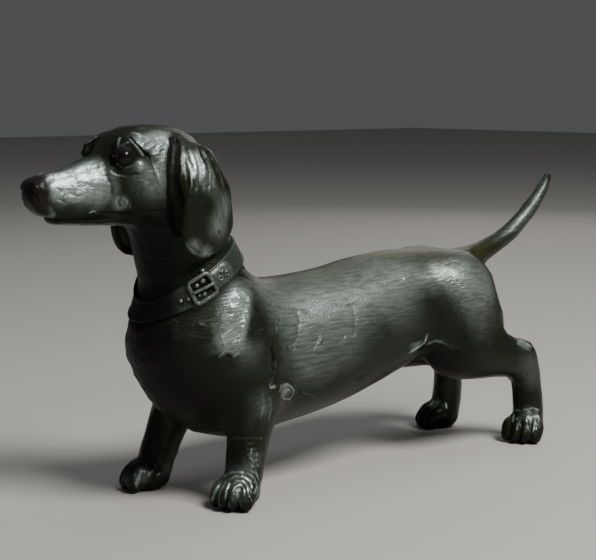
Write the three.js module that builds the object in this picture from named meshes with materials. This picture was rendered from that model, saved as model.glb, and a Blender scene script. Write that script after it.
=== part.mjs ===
// A standing dachshund, cast in one piece in resin: dog, collar and buckle are a single solid.
// Millimetres, +Z up. The nose points along -X, the dog's left side is at -Y, and it stands on Z = 0.
// The body is a smooth field, negative inside, which is then turned into one closed mesh.
import * as THREE from 'three';
import { triTable } from 'three/addons/objects/MarchingCubes.js';

// Driving sizes, in millimetres and degrees
const height = 150;
const collarWidth = 9;
const collarThickness = 0.9;
const collarTilt = 30;
const collarArch = 1.7;
const buckleLength = 10.5;
const buckleBar = 1.7;
const buckleRaise = 1.3;
const tongueLength = 9.5;
const tongueRaise = 0.6;
const earThickness = 3.6;
const toeGrooveDepth = 1.2;
const mouthGrooveDepth = 0.7;
const creaseDepth = 1.2;
const sampleStep = 1;
const triangleBudget = 9600;

// The figure's pose and proportions are shares of its height: one part is a 150th of it.
const part = height / 150;
const degrees = Math.PI / 180;

// Small tools for fields

const clamp = (value, low, high) => Math.min(high, Math.max(low, value));
const mix = (from, to, share) => from + (to - from) * share;
const length2 = (a, b) => Math.sqrt(a * a + b * b);
const length3 = (a, b, c) => Math.sqrt(a * a + b * b + c * c);

function ramp(from, to, value) {
  const t = clamp((value - from) / (to - from), 0, 1);
  return t * t * (3 - 2 * t);
}

function bump(offset, halfWidth) {
  const t = Math.max(1 - (offset / halfWidth) ** 2, 0);
  return t * t;
}

function join(a, b, blend) {
  const h = Math.max(blend - Math.abs(a - b), 0);
  return Math.min(a, b) - (h * h) / (4 * blend);
}

// Joins fields, each with its own blend radius.
function together(pairs) {
  const fields = pairs.map(([field]) => field);
  const blends = pairs.map(([, blend]) => blend * part);
  return (x, y, z) => {
    let d = fields[0](x, y, z);
    for (let i = 1; i < fields.length; i++) d = join(d, fields[i](x, y, z), blends[i]);
    return d;
  };
}

// Mirrors a field about the dog's middle plane.
const bothSides = (field) => (x, y, z) => field(x, Math.abs(y), z);

// A limb: a chain of stations [x, y, z, radius, sideways share of the radius], smoothed into round cones.
function limb(stations, steps = 4) {
  const rows = [];
  const last = stations.length - 1;
  for (let i = 0; i < last; i++) {
    const four = [-1, 0, 1, 2].map((k) => stations[clamp(i + k, 0, last)]);
    for (let s = 0; s < steps; s++) rows.push(curvePoint(four, s / steps));
  }
  rows.push(curvePoint(Array(4).fill(stations[last]), 0));

  const cones = [];
  const box = new THREE.Box3();
  rows.forEach((row, i) => {
    const centre = new THREE.Vector3(row[0], row[1], row[2]);
    box.union(new THREE.Box3().setFromCenterAndSize(centre, new THREE.Vector3().setScalar(2 * row[3])));
    if (i > 0) cones.push(cone(rows[i - 1], row));
  });
  const { min, max } = box;
  const reach = 14 * part;
  return (x, y, z) => {
    const away = Math.max(min.x - x, x - max.x, min.y - y, y - max.y, min.z - z, z - max.z);
    if (away > reach) return away;
    let least = Infinity;
    for (let i = 0; i < cones.length; i++) {
      const d = cones[i](x, y, z);
      if (d < least) least = d;
    }
    return least;
  };
}

// One point of a Catmull-Rom curve through all the numbers of four stations.
function curvePoint(four, t) {
  return [0, 1, 2, 3, 4].map((k) => {
    const [p, q, r, s] = four.map((station) => (k < 4 ? station[k] * part : station[k] ?? 1));
    const square = 2 * p - 5 * q + 4 * r - s;
    const cube = 3 * q - p - 3 * r + s;
    return 0.5 * (2 * q + (r - p) * t + square * t ** 2 + cube * t ** 3);
  });
}

function cone([ax, ay, az, ar, aw], [bx, by, bz, br, bw]) {
  const ux = bx - ax;
  const uy = by - ay;
  const uz = bz - az;
  const squared = ux * ux + uy * uy + uz * uz;
  return (x, y, z) => {
    const dx = x - ax;
    const dy = y - ay;
    const dz = z - az;
    const t = clamp((dx * ux + dy * uy + dz * uz) / squared, 0, 1);
    return length3(dx - t * ux, (dy - t * uy) / mix(aw, bw, t), dz - t * uz) - mix(ar, br, t);
  };
}

// An ellipsoid with its centre, radii and a lean in degrees about the sideways axis.
function egg(centre, radii, lean = 0) {
  const [cx, cy, cz] = centre.map((v) => v * part);
  const [rx, ry, rz] = radii.map((v) => v * part);
  const cosine = Math.cos(lean * degrees);
  const sine = Math.sin(lean * degrees);
  return (x, y, z) => {
    const along = (x - cx) * cosine - (z - cz) * sine;
    const up = (x - cx) * sine + (z - cz) * cosine;
    const side = y - cy;
    const near = length3(along / rx, side / ry, up / rz);
    const slope = length3(along / (rx * rx), side / (ry * ry), up / (rz * rz));
    return slope > 0 ? (near * (near - 1)) / slope : -Math.min(rx, ry, rz);
  };
}

// Trunk and neck

const trunk = limb([
  [-76.5, 0, 64, 20.6, 1.04],
  [-57, 0, 55.4, 31.6, 0.8],
  [-30, 0, 55, 30.6, 0.84],
  [0, 0, 58.4, 29.2, 0.88],
  [27, 0, 64.2, 27.4, 0.88],
  [48, 0, 68.4, 23.8, 0.94],
  [66, 0, 70.5, 20.4, 1.03],
  [80, 0, 72.5, 16, 1.12],
]);

const neck = limb([
  [-56, 0, 64, 23, 0.95],
  [-68.4, 0, 85, 21.4, 0.93],
  [-76.5, 0, 106, 18.6, 0.94],
  [-82, 0, 126, 17.5, 1],
]);

// Head, modelled for the +Y side and mirrored

const head = bothSides(together([
  [egg([-87.5, 0, 130.6], [22.5, 19.2, 18.6]), 1],
  [limb([
    [-97, 0, 128, 14.6, 0.96],
    [-112, 0, 126.6, 12, 0.88],
    [-127, 0, 124.6, 9, 0.84],
    [-136, 0, 124.8, 6.8, 0.92],
  ]), 7],
  [egg([-98, 0, 136.6], [13, 14.5, 11.8]), 4],
  [egg([-91, 10.5, 123.5], [16, 8.6, 10.5]), 4],
  [egg([-120, 4.6, 120.2], [15, 4.4, 5]), 3],
  [limb([[-92, 0, 118.6, 7.2, 1.9], [-109, 0, 116.2, 4.6, 1.9], [-131.5, 0, 116.8, 3.6, 1.5]]), 3],
  [egg([-102.5, 9.6, 141.4], [6.5, 5.4, 4.4]), 3],
  [egg([-138.4, 0, 127], [4.8, 6.2, 4.9]), 1.5],
  [egg([-107.2, 11.8, 138], [4.8, 3.8, 3.2]), 0.8],
  [limb([
    [-111.5, 9.6, 139, 1.1],
    [-108, 11.6, 142, 1.4],
    [-103, 14, 141.2, 1.6],
    [-99, 15.6, 137, 1.2],
  ]), 1.2],
]));

const nostrils = bothSides(egg([-143, 3.2, 127.2], [2.2, 1.4, 1.2]));

// The line between the lips, from under the nose back to the corner of the mouth.
function mouthLine(x, y, z) {
  const front = -141 * part;
  const corner = -104 * part;
  if (x > corner) return 0;
  const share = clamp((x - front) / (corner - front), 0, 1);
  const lip = part * mix(117, 115.4, Math.sin(Math.PI * share));
  return bump(z - lip, 1.4 * part) * ramp(corner, corner - 5 * part, x);
}

// Ears: a thick leaf hung from the skull and curved outward, backed by material down to the neck.
// The outline is [down, half width, place along X], the reach is [down, distance from the middle plane].

const earTop = 144 * part;
const earOutline = [
  [6, 5, -78.4],
  [10, 7.8, -77],
  [20, 11.8, -77.4],
  [30.6, 13.3, -78],
  [35, 10.6, -79.8],
];
const earReach = [[0, 16], [8, 21.2], [22, 25.8], [34, 26.4], [46, 24.4]];
const earBacking = 4.4 * part;

function earEdge(x, down) {
  let least = Infinity;
  for (let i = 1; i < earOutline.length; i++) {
    const from = earOutline[i - 1];
    const to = earOutline[i];
    const t = clamp((down - from[0] * part) / ((to[0] - from[0]) * part), 0, 1);
    const along = x - mix(from[2], to[2], t) * part;
    const below = down - mix(from[0], to[0], t) * part;
    least = Math.min(least, length2(along, below) - mix(from[1], to[1], t) * part);
  }
  return least;
}

function earFace(x, down) {
  let i = 1;
  while (i < earReach.length - 1 && earReach[i][0] * part < down) i++;
  const [from, low] = earReach[i - 1];
  const [to, high] = earReach[i];
  const reach = mix(low, high, clamp((down / part - from) / (to - from), 0, 1)) * part;
  const fromMiddle = x / part + 81;
  return reach - 0.016 * fromMiddle ** 2 * part;
}

// The right ear hangs a little lower and further forward than the left one.
const rightEarDrop = 3 * part;
const rightEarForward = 1.6 * part;

function ears(x, y, z) {
  if (y < 0) return ear(x, -y, z);
  const forward = rightEarForward * ramp(0, 30 * part, earTop - z);
  return ear(x + forward, y, z + rightEarDrop);
}

function ear(x, y, z) {
  const down = earTop - z;
  const edge = earEdge(x, down);
  if (edge > 12 * part) return edge;
  const face = earFace(x, down);
  const rim = 0.4 * earThickness;
  const through = Math.abs(y - face + earThickness / 2) - earThickness / 2 + rim;
  const flat = edge + rim;
  const inside = Math.min(Math.max(flat, through), 0);
  const leaf = length2(Math.max(flat, 0), Math.max(through, 0)) + inside - rim;
  const backing = Math.max(edge + earBacking, y - face + earThickness / 2, 6 * part - y);
  return join(leaf, backing, 1.5 * part);
}

// A paw: a pad with four toes, turned outward by a number of degrees, with grooves between the toes.
const toeSpacing = 4.2 * part;
const toeGrooveWidth = 1.1 * part;

function paw(cx, cy, turn) {
  const cosine = Math.cos(turn * degrees);
  const sine = Math.sin(turn * degrees);
  const parts = [[egg([-0.5, 0, 5.6], [9.8, 8.2, 6.8]), 1]];
  for (const place of [-1.5, -0.5, 0.5, 1.5]) {
    const back = place ** 2;
    parts.push([limb([
      [1, place * 3.7, 7.8, 3.7],
      [5.6 - back, place * 4.1, 6.8, 3.8],
      [8.2 - back, place * 4.2, 3.4, 3.2],
    ], 2), 1]);
  }
  const whole = together(parts);
  return (x, y, z) => {
    const dx = x - cx * part;
    const dy = y - cy * part;
    const away = length3(dx, dy, z) - 14 * part;
    if (away > 8 * part) return away;
    const front = -dx * cosine + dy * sine;
    const side = dx * sine + dy * cosine;
    const nearest = side - toeSpacing * clamp(Math.round(side / toeSpacing), -1, 1);
    const groove = bump(nearest, toeGrooveWidth) * ramp(1 * part, 7 * part, front);
    return whole(front, side, z) + toeGrooveDepth * groove;
  };
}

// Legs. Stations are for a leg under the body; the right legs stride forward, more so towards the ground.
// Each side is given as -1 for the dog's left and 1 for its right.

function leg(stations, side, stride, hipHeight) {
  return limb(stations.map(([x, y, z, radius, share]) => {
    const forward = stride * clamp(1 - z / hipHeight, 0, 1);
    return [x - forward, y * side, z, radius, share];
  }));
}

function foreLeg(side, stride) {
  return together([
    [leg([
      [-60, 13, 68, 15, 0.8],
      [-56, 17, 55, 15.5, 0.66],
      [-54, 20, 43, 12, 0.78],
      [-58.5, 21.8, 28, 8.8, 0.95],
      [-61.5, 22.4, 13, 7.6, 1],
    ], side, stride, 66), 1],
    [egg([-46 - 0.35 * stride, 21.5 * side, 44.5], [4.2, 4.2, 4.6]), 3],
    [paw(-64.6 - stride, 22.6 * side, 24 * side), 3],
  ]);
}

function hindLeg(side, stride) {
  return together([
    [leg([
      [65.5, 12, 72.5, 17.4, 0.8],
      [64, 15.5, 60, 17.6, 0.66],
      [59, 18.5, 47, 12.6, 0.78],
      [82, 20, 43, 10.8, 0.88],
      [99.5, 21, 39, 8.4, 0.9],
    ], side, stride, 90), 1],
    [leg([
      [101.5, 21, 39, 7.4, 0.9],
      [106, 21.5, 27, 7.2, 0.95],
      [107.2, 22, 12, 7, 1],
    ], side, stride, 90), 6],
    [egg([80.5 - 0.3 * stride, 16.5 * side, 57], [11, 8.5, 13], 20), 6],
    [paw(103.6 - stride, 22.8 * side, 28 * side), 3],
  ]);
}

const legs = [foreLeg(-1, 0), foreLeg(1, 13), hindLeg(-1, 0), hindLeg(1, 11)];
const shoulders = bothSides(egg([-59, 15, 67], [12.5, 9, 20], -12));
const haunches = bothSides(egg([69, 12, 71], [17, 11, 15.5], 25));

const tail = limb([
  [84, 0, 83.5, 6.8],
  [95, 0, 86.4, 5.4],
  [106, 0, 90.3, 4.6],
  [118.2, 0, 96.2, 4.2],
  [131, 0, 106, 3.8],
  [139.2, 0, 114.6, 3.1],
  [143.4, 0, 120.8, 2.1],
], 3);

// Collar: a band that follows the neck's own surface. On the left are a frame buckle and the band's tongue.

const collarX = -72.7 * part;
const collarZ = 89 * part;
const buckleTurn = -19 * degrees;

const collarSpan = 27 * part;
const collarArchReach = 21 * part;
const collarReach = 12 * part;
const collarEdge = 0.7 * part;

function collar(x, y, z, skin) {
  const dx = x - collarX;
  const dz = z - collarZ;
  if (Math.abs(dx) > collarSpan || Math.abs(skin) > collarReach) return 1e3;
  const arch = collarArch * (1 - (dx / collarArchReach) ** 2);
  const up = dz * Math.cos(collarTilt * degrees) - dx * Math.sin(collarTilt * degrees) - arch;
  if (Math.abs(up) > 2 * collarWidth) return 1e3;
  const back = dx * Math.cos(collarTilt * degrees) + dz * Math.sin(collarTilt * degrees);
  const turn = Math.atan2(-y, back) - Math.PI / 2 + buckleTurn;
  const round = Math.atan2(Math.sin(turn), Math.cos(turn)) * length2(back, y);
  const overEdge = Math.abs(up) - collarWidth / 2;
  const band = ramp(collarEdge, -collarEdge, overEdge);
  const overFrame = Math.max(Math.abs(round) - buckleLength / 2, overEdge - 0.6 * buckleBar);
  const frame = bump(overFrame + buckleBar / 2, buckleBar);
  const prong = bump(up, 0.8 * buckleBar) * ramp(0.5 * buckleLength, 0.4 * buckleLength, Math.abs(round));
  const pastTongue = Math.abs(round + buckleLength / 2 + tongueLength / 2) - tongueLength / 2;
  const overTongue = Math.max(pastTongue, overEdge + collarEdge);
  const tongue = ramp(0.5 * collarEdge, -collarEdge, overTongue);
  const raised = collarThickness * band + tongueRaise * tongue + buckleRaise * Math.max(frame, prong);
  return skin - raised + collarThickness * ramp(0.1, 0, raised);
}

// Carved relief, for both flanks: creases and folds are [from, to, half width, depth], in parts.

const creases = [
  [[-49.5, 27, 62], [-50.5, 25, 47], 2.2, 1],
  [[47, 24, 74], [53, 26, 50], 7, 1.2],
  [[20, 25, 66], [42, 24, 68], 9, 0.8],
  [[-41, 26, 78], [-44, 28, 62], 4, 0.5],
  [[26, 23, 51.5], [40, 24.5, 54], 3, -1.6],
  [[-44, 25, 46], [-40, 25.5, 43.5], 3.2, -1.2],
].map(([from, to, halfWidth, depth]) => ({
  from: new THREE.Vector3(...from).multiplyScalar(part),
  along: new THREE.Vector3(...to).sub(new THREE.Vector3(...from)).multiplyScalar(part),
  halfWidth: halfWidth * part,
  depth: depth * creaseDepth,
}));

function relief(x, y, z) {
  let sum = 0;
  for (const { from, along, halfWidth, depth } of creases) {
    const dx = x - from.x;
    const dy = Math.abs(y) - from.y;
    const dz = z - from.z;
    const t = clamp((dx * along.x + dy * along.y + dz * along.z) / along.lengthSq(), 0, 1);
    sum += depth * bump(length3(dx - t * along.x, 0.5 * (dy - t * along.y), dz - t * along.z), halfWidth);
  }
  return sum;
}

// The whole dog

function dog(x, y, z) {
  const bodyOnly = trunk(x, y, z);
  let bare = join(bodyOnly, neck(x, y, z), 8 * part);
  bare = join(bare, head(x, y, z), 6 * part);
  let d = join(bare, shoulders(x, y, z), 8 * part);
  d = join(d, haunches(x, y, z), 9 * part);
  for (let i = 0; i < legs.length; i++) d = join(d, legs[i](x, y, z), 6 * part);
  d = join(d, tail(x, y, z), 4 * part);
  if (Math.abs(d) < 3 * part) d += relief(x, y, z);
  d = join(d, collar(x, y, z, bare), 0.4 * part);
  d = join(d, ears(x, y, z), 2 * part);
  if (x < -100 * part) {
    d = -join(-d, nostrils(x, y, z), 0.6 * part);
    d += mouthGrooveDepth * mouthLine(x, y, z);
  }
  return Math.max(d, -z);
}

// Marching cubes over the field, in small blocks so that empty space is passed over.
function polygonize(field, low, high, step) {
  const size = 4;
  const side = size + 1;
  const blocks = low.map((v, axis) => Math.ceil((high[axis] - v) / (step * size)));
  const row = blocks[0] * size + 1;
  const plane = row * (blocks[1] * size + 1);
  const square = [[0, 0], [1, 0], [1, 1], [0, 1]];
  const corners = [0, 1].flatMap((level) => square.map(([a, b]) => [a, b, level]));
  const rings = [0, 4].flatMap((start) => [0, 1, 2, 3].map((k) => [start + k, start + ((k + 1) % 4)]));
  const edges = [...rings, ...[0, 1, 2, 3].map((k) => [k, k + 4])];
  const inBlock = corners.map(([a, b, c]) => a + side * (b + side * c));
  const inGrid = corners.map(([a, b, c]) => a + row * b + plane * c);
  const values = new Float64Array(side ** 3);
  const positions = [];
  const triangles = [];
  const made = new Map();

  const sampleBlock = (bi, bj, bk) => {
    for (let k = 0; k < side; k++) {
      for (let j = 0; j < side; j++) {
        for (let i = 0; i < side; i++) {
          const x = low[0] + (bi * size + i) * step;
          const y = low[1] + (bj * size + j) * step;
          const value = field(x, y, low[2] + (bk * size + k) * step);
          values[i + side * (j + side * k)] = Math.abs(value) < 1e-3 ? 1e-3 : value;
        }
      }
    }
  };

  const vertexOn = (edge, i, j, k, base, first) => {
    const [from, to] = edges[edge];
    const axis = [0, 1, 2].find((n) => corners[from][n] !== corners[to][n]);
    const key = 3 * (first + Math.min(inGrid[from], inGrid[to])) + axis;
    if (!made.has(key)) {
      const start = values[base + inBlock[from]];
      const share = clamp(start / (start - values[base + inBlock[to]]), 0.002, 0.998);
      [i, j, k].forEach((n, m) => {
        positions.push(low[m] + (n + mix(corners[from][m], corners[to][m], share)) * step);
      });
      made.set(key, positions.length / 3 - 1);
    }
    return made.get(key);
  };

  const fillBlock = (bi, bj, bk) => {
    for (let k = 0; k < size; k++) {
      for (let j = 0; j < size; j++) {
        for (let i = 0; i < size; i++) {
          const base = i + side * (j + side * k);
          let kind = 0;
          for (let n = 0; n < 8; n++) {
            if (values[base + inBlock[n]] < 0) kind |= 1 << n;
          }
          if (kind === 0 || kind === 255) continue;
          const cell = [bi * size + i, bj * size + j, bk * size + k];
          const first = cell[0] + row * cell[1] + plane * cell[2];
          for (let n = kind * 16; triTable[n] !== -1; n += 3) {
            for (const m of [n, n + 2, n + 1]) triangles.push(vertexOn(triTable[m], ...cell, base, first));
          }
        }
      }
    }
  };

  const half = (size * step) / 2;
  for (let bk = 0; bk < blocks[2]; bk++) {
    for (let bj = 0; bj < blocks[1]; bj++) {
      for (let bi = 0; bi < blocks[0]; bi++) {
        const [x, y, z] = [bi, bj, bk].map((b, axis) => low[axis] + b * size * step + half);
        if (Math.abs(field(x, y, z)) > 3.2 * half) continue;
        sampleBlock(bi, bj, bk);
        fillBlock(bi, bj, bk);
      }
    }
  }
  return { positions, triangles };
}

// Edge collapse by the quadric error, so that flat flanks get few triangles and carving keeps many.
// The weight says how much a place matters, and long edges cost a little more than short ones.
function simplify({ positions, triangles }, wanted, weightAt) {
  const point = Float64Array.from(positions);
  const face = Int32Array.from(triangles);
  const vertexCount = point.length / 3;
  const faceCount = face.length / 3;
  const quadric = new Float64Array(vertexCount * 10);
  const stamp = new Int32Array(vertexCount);
  const facesOf = Array.from({ length: vertexCount }, () => []);
  const alive = new Uint8Array(faceCount).fill(1);
  const leastAgreement = 0.25;
  const leastShape = 0.03;
  const longEdgeCost = 2e-4;
  const normal = [0, 0, 0];
  let left = faceCount;

  const setNormal = (a, b, c) => {
    const ux = point[3 * b] - point[3 * a];
    const uy = point[3 * b + 1] - point[3 * a + 1];
    const uz = point[3 * b + 2] - point[3 * a + 2];
    const vx = point[3 * c] - point[3 * a];
    const vy = point[3 * c + 1] - point[3 * a + 1];
    const vz = point[3 * c + 2] - point[3 * a + 2];
    normal[0] = uy * vz - uz * vy;
    normal[1] = uz * vx - ux * vz;
    normal[2] = ux * vy - uy * vx;
    return length3(normal[0], normal[1], normal[2]);
  };

  const apart = (a, b) => length3(
    point[3 * a] - point[3 * b],
    point[3 * a + 1] - point[3 * b + 1],
    point[3 * a + 2] - point[3 * b + 2],
  );

  for (let f = 0; f < faceCount; f++) {
    const three = [face[3 * f], face[3 * f + 1], face[3 * f + 2]];
    const area = setNormal(...three) || 1e-12;
    const [p, q, r] = normal.map((v) => v / area);
    const a = 3 * three[0];
    const s = -(p * point[a] + q * point[a + 1] + r * point[a + 2]);
    const weight = area * weightAt(point[a], point[a + 1], point[a + 2]);
    const terms = [p * p, p * q, p * r, p * s, q * q, q * r, q * s, r * r, r * s, s * s];
    for (const v of three) {
      facesOf[v].push(f);
      for (let k = 0; k < 10; k++) quadric[10 * v + k] += terms[k] * weight;
    }
  }

  const m = new Float64Array(10);
  const errorAt = (x, y, z) => m[0] * x * x + 2 * m[1] * x * y + 2 * m[2] * x * z + 2 * m[3] * x
    + m[4] * y * y + 2 * m[5] * y * z + 2 * m[6] * y + m[7] * z * z + 2 * m[8] * z + m[9];

  // The best of the exact optimum, the two ends and the middle of an edge.
  const bestPlace = (a, b) => {
    for (let k = 0; k < 10; k++) m[k] = quadric[10 * a + k] + quadric[10 * b + k];
    const middle = [0, 1, 2].map((k) => (point[3 * a + k] + point[3 * b + k]) / 2);
    let place = middle;
    let cost = errorAt(...middle);
    const offerPlace = (x, y, z) => {
      const error = errorAt(x, y, z);
      if (error < cost) {
        cost = error;
        place = [x, y, z];
      }
    };
    offerPlace(point[3 * a], point[3 * a + 1], point[3 * a + 2]);
    offerPlace(point[3 * b], point[3 * b + 1], point[3 * b + 2]);
    const c0 = m[4] * m[7] - m[5] * m[5];
    const c1 = m[2] * m[5] - m[1] * m[7];
    const c2 = m[1] * m[5] - m[2] * m[4];
    const determinant = m[0] * c0 + m[1] * c1 + m[2] * c2;
    const edge = apart(a, b);
    if (determinant > 1e-6) {
      const c3 = m[0] * m[7] - m[2] * m[2];
      const c4 = m[1] * m[2] - m[0] * m[5];
      const c5 = m[0] * m[4] - m[1] * m[1];
      const x = -(c0 * m[3] + c1 * m[6] + c2 * m[8]) / determinant;
      const y = -(c1 * m[3] + c3 * m[6] + c4 * m[8]) / determinant;
      const z = -(c2 * m[3] + c4 * m[6] + c5 * m[8]) / determinant;
      if (length3(x - middle[0], y - middle[1], z - middle[2]) < 1.5 * edge) offerPlace(x, y, z);
    }
    return { place, cost: Math.max(cost, 0) + longEdgeCost * edge ** 4 };
  };

  const heap = [];
  const push = (item) => {
    let i = heap.push(item) - 1;
    while (i > 0) {
      const up = (i - 1) >> 1;
      if (heap[up].cost <= item.cost) break;
      heap[i] = heap[up];
      i = up;
    }
    heap[i] = item;
  };
  const pop = () => {
    const top = heap[0];
    const item = heap.pop();
    if (heap.length === 0) return top;
    let i = 0;
    for (let child = 1; child < heap.length; child = 2 * i + 1) {
      if (child + 1 < heap.length && heap[child + 1].cost < heap[child].cost) child++;
      if (heap[child].cost >= item.cost) break;
      heap[i] = heap[child];
      i = child;
    }
    heap[i] = item;
    return top;
  };
  const offer = (a, b) => {
    const item = bestPlace(a, b);
    item.a = a;
    item.b = b;
    item.sa = stamp[a];
    item.sb = stamp[b];
    push(item);
  };

  const neighbours = (v) => {
    const found = [];
    for (const f of facesOf[v]) {
      for (let k = 0; k < 3; k++) {
        const other = face[3 * f + k];
        if (other !== v && !found.includes(other)) found.push(other);
      }
    }
    return found;
  };

  // True when moving a vertex leaves its faces facing their way, and none a sliver.
  const keepsFaces = (v, other, place) => {
    const kept = [point[3 * v], point[3 * v + 1], point[3 * v + 2]];
    for (const f of facesOf[v]) {
      const [a, b, c] = [face[3 * f], face[3 * f + 1], face[3 * f + 2]];
      if (a === other || b === other || c === other) continue;
      const before = setNormal(a, b, c);
      const [nx, ny, nz] = normal;
      point.set(place, 3 * v);
      const after = setNormal(a, b, c);
      const longest = Math.max(apart(a, b), apart(b, c), apart(c, a));
      point.set(kept, 3 * v);
      const agree = nx * normal[0] + ny * normal[1] + nz * normal[2];
      if (agree < leastAgreement * before * after || after < leastShape * longest ** 2) return false;
    }
    return true;
  };

  const collapse = (a, b, shared, place) => {
    point.set(place, 3 * a);
    for (let k = 0; k < 10; k++) quadric[10 * a + k] += quadric[10 * b + k];
    for (const f of facesOf[b]) {
      const three = [face[3 * f], face[3 * f + 1], face[3 * f + 2]];
      if (three.includes(a)) {
        alive[f] = 0;
        left--;
      } else {
        face[3 * f + three.indexOf(b)] = a;
        facesOf[a].push(f);
      }
    }
    facesOf[b] = [];
    stamp[b] = -1;
    stamp[a]++;
    for (const v of [a, ...shared]) facesOf[v] = facesOf[v].filter((f) => alive[f]);
    for (const v of neighbours(a)) offer(a, v);
  };

  for (let f = 0; f < faceCount; f++) {
    for (let k = 0; k < 3; k++) {
      const a = face[3 * f + k];
      const b = face[3 * f + ((k + 1) % 3)];
      if (a < b) offer(a, b);
    }
  }

  while (left > wanted && heap.length > 0) {
    const { a, b, sa, sb, place } = pop();
    if (stamp[a] !== sa || stamp[b] !== sb) continue;
    const around = neighbours(b);
    const shared = neighbours(a).filter((v) => around.includes(v));
    if (shared.length !== 2 || !keepsFaces(a, b, place) || !keepsFaces(b, a, place)) continue;
    collapse(a, b, shared, place);
  }

  const kept = new Map();
  const index = [];
  const vertices = [];
  for (let f = 0; f < faceCount; f++) {
    if (!alive[f]) continue;
    for (let k = 0; k < 3; k++) {
      const v = face[3 * f + k];
      if (!kept.has(v)) {
        kept.set(v, vertices.length / 3);
        vertices.push(point[3 * v], point[3 * v + 1], point[3 * v + 2]);
      }
      index.push(kept.get(v));
    }
  }
  return { vertices, index };
}

// Paws, face, collar and tail matter more than the flanks.
function importance(x, y, z) {
  if (z < 18 * part) return 50;
  if (x > 92 * part && z > 60 * part) return 8;
  const onCollar = collar(x, y, z, 0) < 0;
  return x < -98 * part || onCollar ? 40 : 1;
}

const low = [-150, -40, -2.35].map((v) => v * part);
const high = [150, 40, 154].map((v) => v * part);
const sampled = polygonize(dog, low, high, sampleStep * part);
const { vertices, index } = simplify(sampled, triangleBudget, importance);

// The soles lie exactly on Z = 0.
for (let k = 2; k < vertices.length; k += 3) {
  if (vertices[k] < 0.08 * part) vertices[k] = 0;
}

// The origin is on the ground, under the middle of the whole figure.
const geometry = new THREE.BufferGeometry();
geometry.setAttribute('position', new THREE.Float32BufferAttribute(vertices, 3));
geometry.setIndex(index);
geometry.computeBoundingBox();
const middle = geometry.boundingBox.getCenter(new THREE.Vector3());
geometry.translate(-middle.x, -middle.y, 0);
geometry.computeVertexNormals();

const resin = new THREE.MeshStandardMaterial({ color: 0x23261f, roughness: 0.42, metalness: 0.25 });
const statue = new THREE.Mesh(geometry, resin);
statue.name = 'dachshund';

const group = new THREE.Group();
group.add(statue);

export default group;
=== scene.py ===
import math

import bpy
import numpy as np
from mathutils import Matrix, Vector
from mathutils.bvhtree import BVHTree


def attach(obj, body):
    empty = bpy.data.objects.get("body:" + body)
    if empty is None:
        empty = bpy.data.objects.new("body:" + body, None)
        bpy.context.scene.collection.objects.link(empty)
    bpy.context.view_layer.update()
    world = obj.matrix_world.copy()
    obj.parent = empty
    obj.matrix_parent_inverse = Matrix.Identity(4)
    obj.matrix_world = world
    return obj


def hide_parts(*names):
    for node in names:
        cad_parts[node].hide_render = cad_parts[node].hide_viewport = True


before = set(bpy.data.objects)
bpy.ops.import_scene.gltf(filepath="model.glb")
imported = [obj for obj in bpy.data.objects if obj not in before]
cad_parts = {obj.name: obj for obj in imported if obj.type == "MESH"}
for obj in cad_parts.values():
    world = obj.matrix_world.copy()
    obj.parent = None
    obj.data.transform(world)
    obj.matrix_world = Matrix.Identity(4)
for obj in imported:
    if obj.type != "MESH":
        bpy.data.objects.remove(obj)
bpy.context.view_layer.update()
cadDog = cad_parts["dachshund"]
mm = 0.001


# Small helpers

def deselectAll():
    if bpy.context.object and bpy.context.object.mode != "OBJECT":
        bpy.ops.object.mode_set(mode="OBJECT")
    bpy.ops.object.select_all(action="DESELECT")


def selectOnly(thing):
    deselectAll()
    thing.select_set(True)
    bpy.context.view_layer.objects.active = thing


def applyModifier(thing, kind, **settings):
    selectOnly(thing)
    modifier = thing.modifiers.new(kind.lower(), kind)
    for name, value in settings.items():
        setattr(modifier, name, value)
    bpy.ops.object.modifier_apply(modifier=modifier.name)


def pointsOf(thing):
    values = np.empty(len(thing.data.vertices) * 3)
    thing.data.vertices.foreach_get("co", values)
    return values.reshape(-1, 3)


def setPoints(thing, points):
    thing.data.vertices.foreach_set("co", points.ravel())
    thing.data.update()


def normalsOf(thing):
    values = np.empty(len(thing.data.vertices) * 3)
    thing.data.vertex_normals.foreach_get("vector", values)
    return values.reshape(-1, 3)


def treeOf(thing):
    return BVHTree.FromObject(thing, bpy.context.evaluated_depsgraph_get())


def addMark(thing, name, values):
    mark = thing.data.attributes.new(name, "FLOAT", "POINT")
    mark.data.foreach_set("value", np.full(len(thing.data.vertices), values))


def newMaterial(name):
    material = bpy.data.materials.new(name)
    material.use_nodes = True
    return material, material.node_tree.nodes["Principled BSDF"]


def weightGroup(thing, name, weights):
    group = thing.vertex_groups.new(name=name)
    steps = np.round(np.clip(weights, 0, 1) * 20).astype(int)
    for step in range(1, 21):
        chosen = np.nonzero(steps == step)[0].tolist()
        if chosen:
            group.add(chosen, step / 20, "REPLACE")
    return group.name


def softBump(distance, reach):
    share = np.clip(1 - (distance / reach) ** 2, 0, 1)
    return share * share


def smoothStep(low, high, value):
    share = np.clip((value - low) / (high - low), 0, 1)
    return share * share * (3 - 2 * share)


def lattice(cells, seed):
    mixed = cells[..., 0] * 374761393 + cells[..., 1] * 668265263
    mixed = mixed + cells[..., 2] * 2147483647 + seed * 974711
    mixed = (mixed ^ (mixed >> 13)) * 1274126177
    return ((mixed ^ (mixed >> 16)) & 0xFFFF) / 65535.0


def noise(points, seed):
    base = np.floor(points).astype(np.int64)
    part = points - base
    part = part * part * (3 - 2 * part)
    total = np.zeros(len(points))
    for corner in range(8):
        step = np.array([corner & 1, (corner >> 1) & 1, corner >> 2])
        share = np.prod(np.where(step == 1, part, 1 - part), axis=1)
        total += share * lattice(base + step, seed)
    return total * 2 - 1


# Camera

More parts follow.
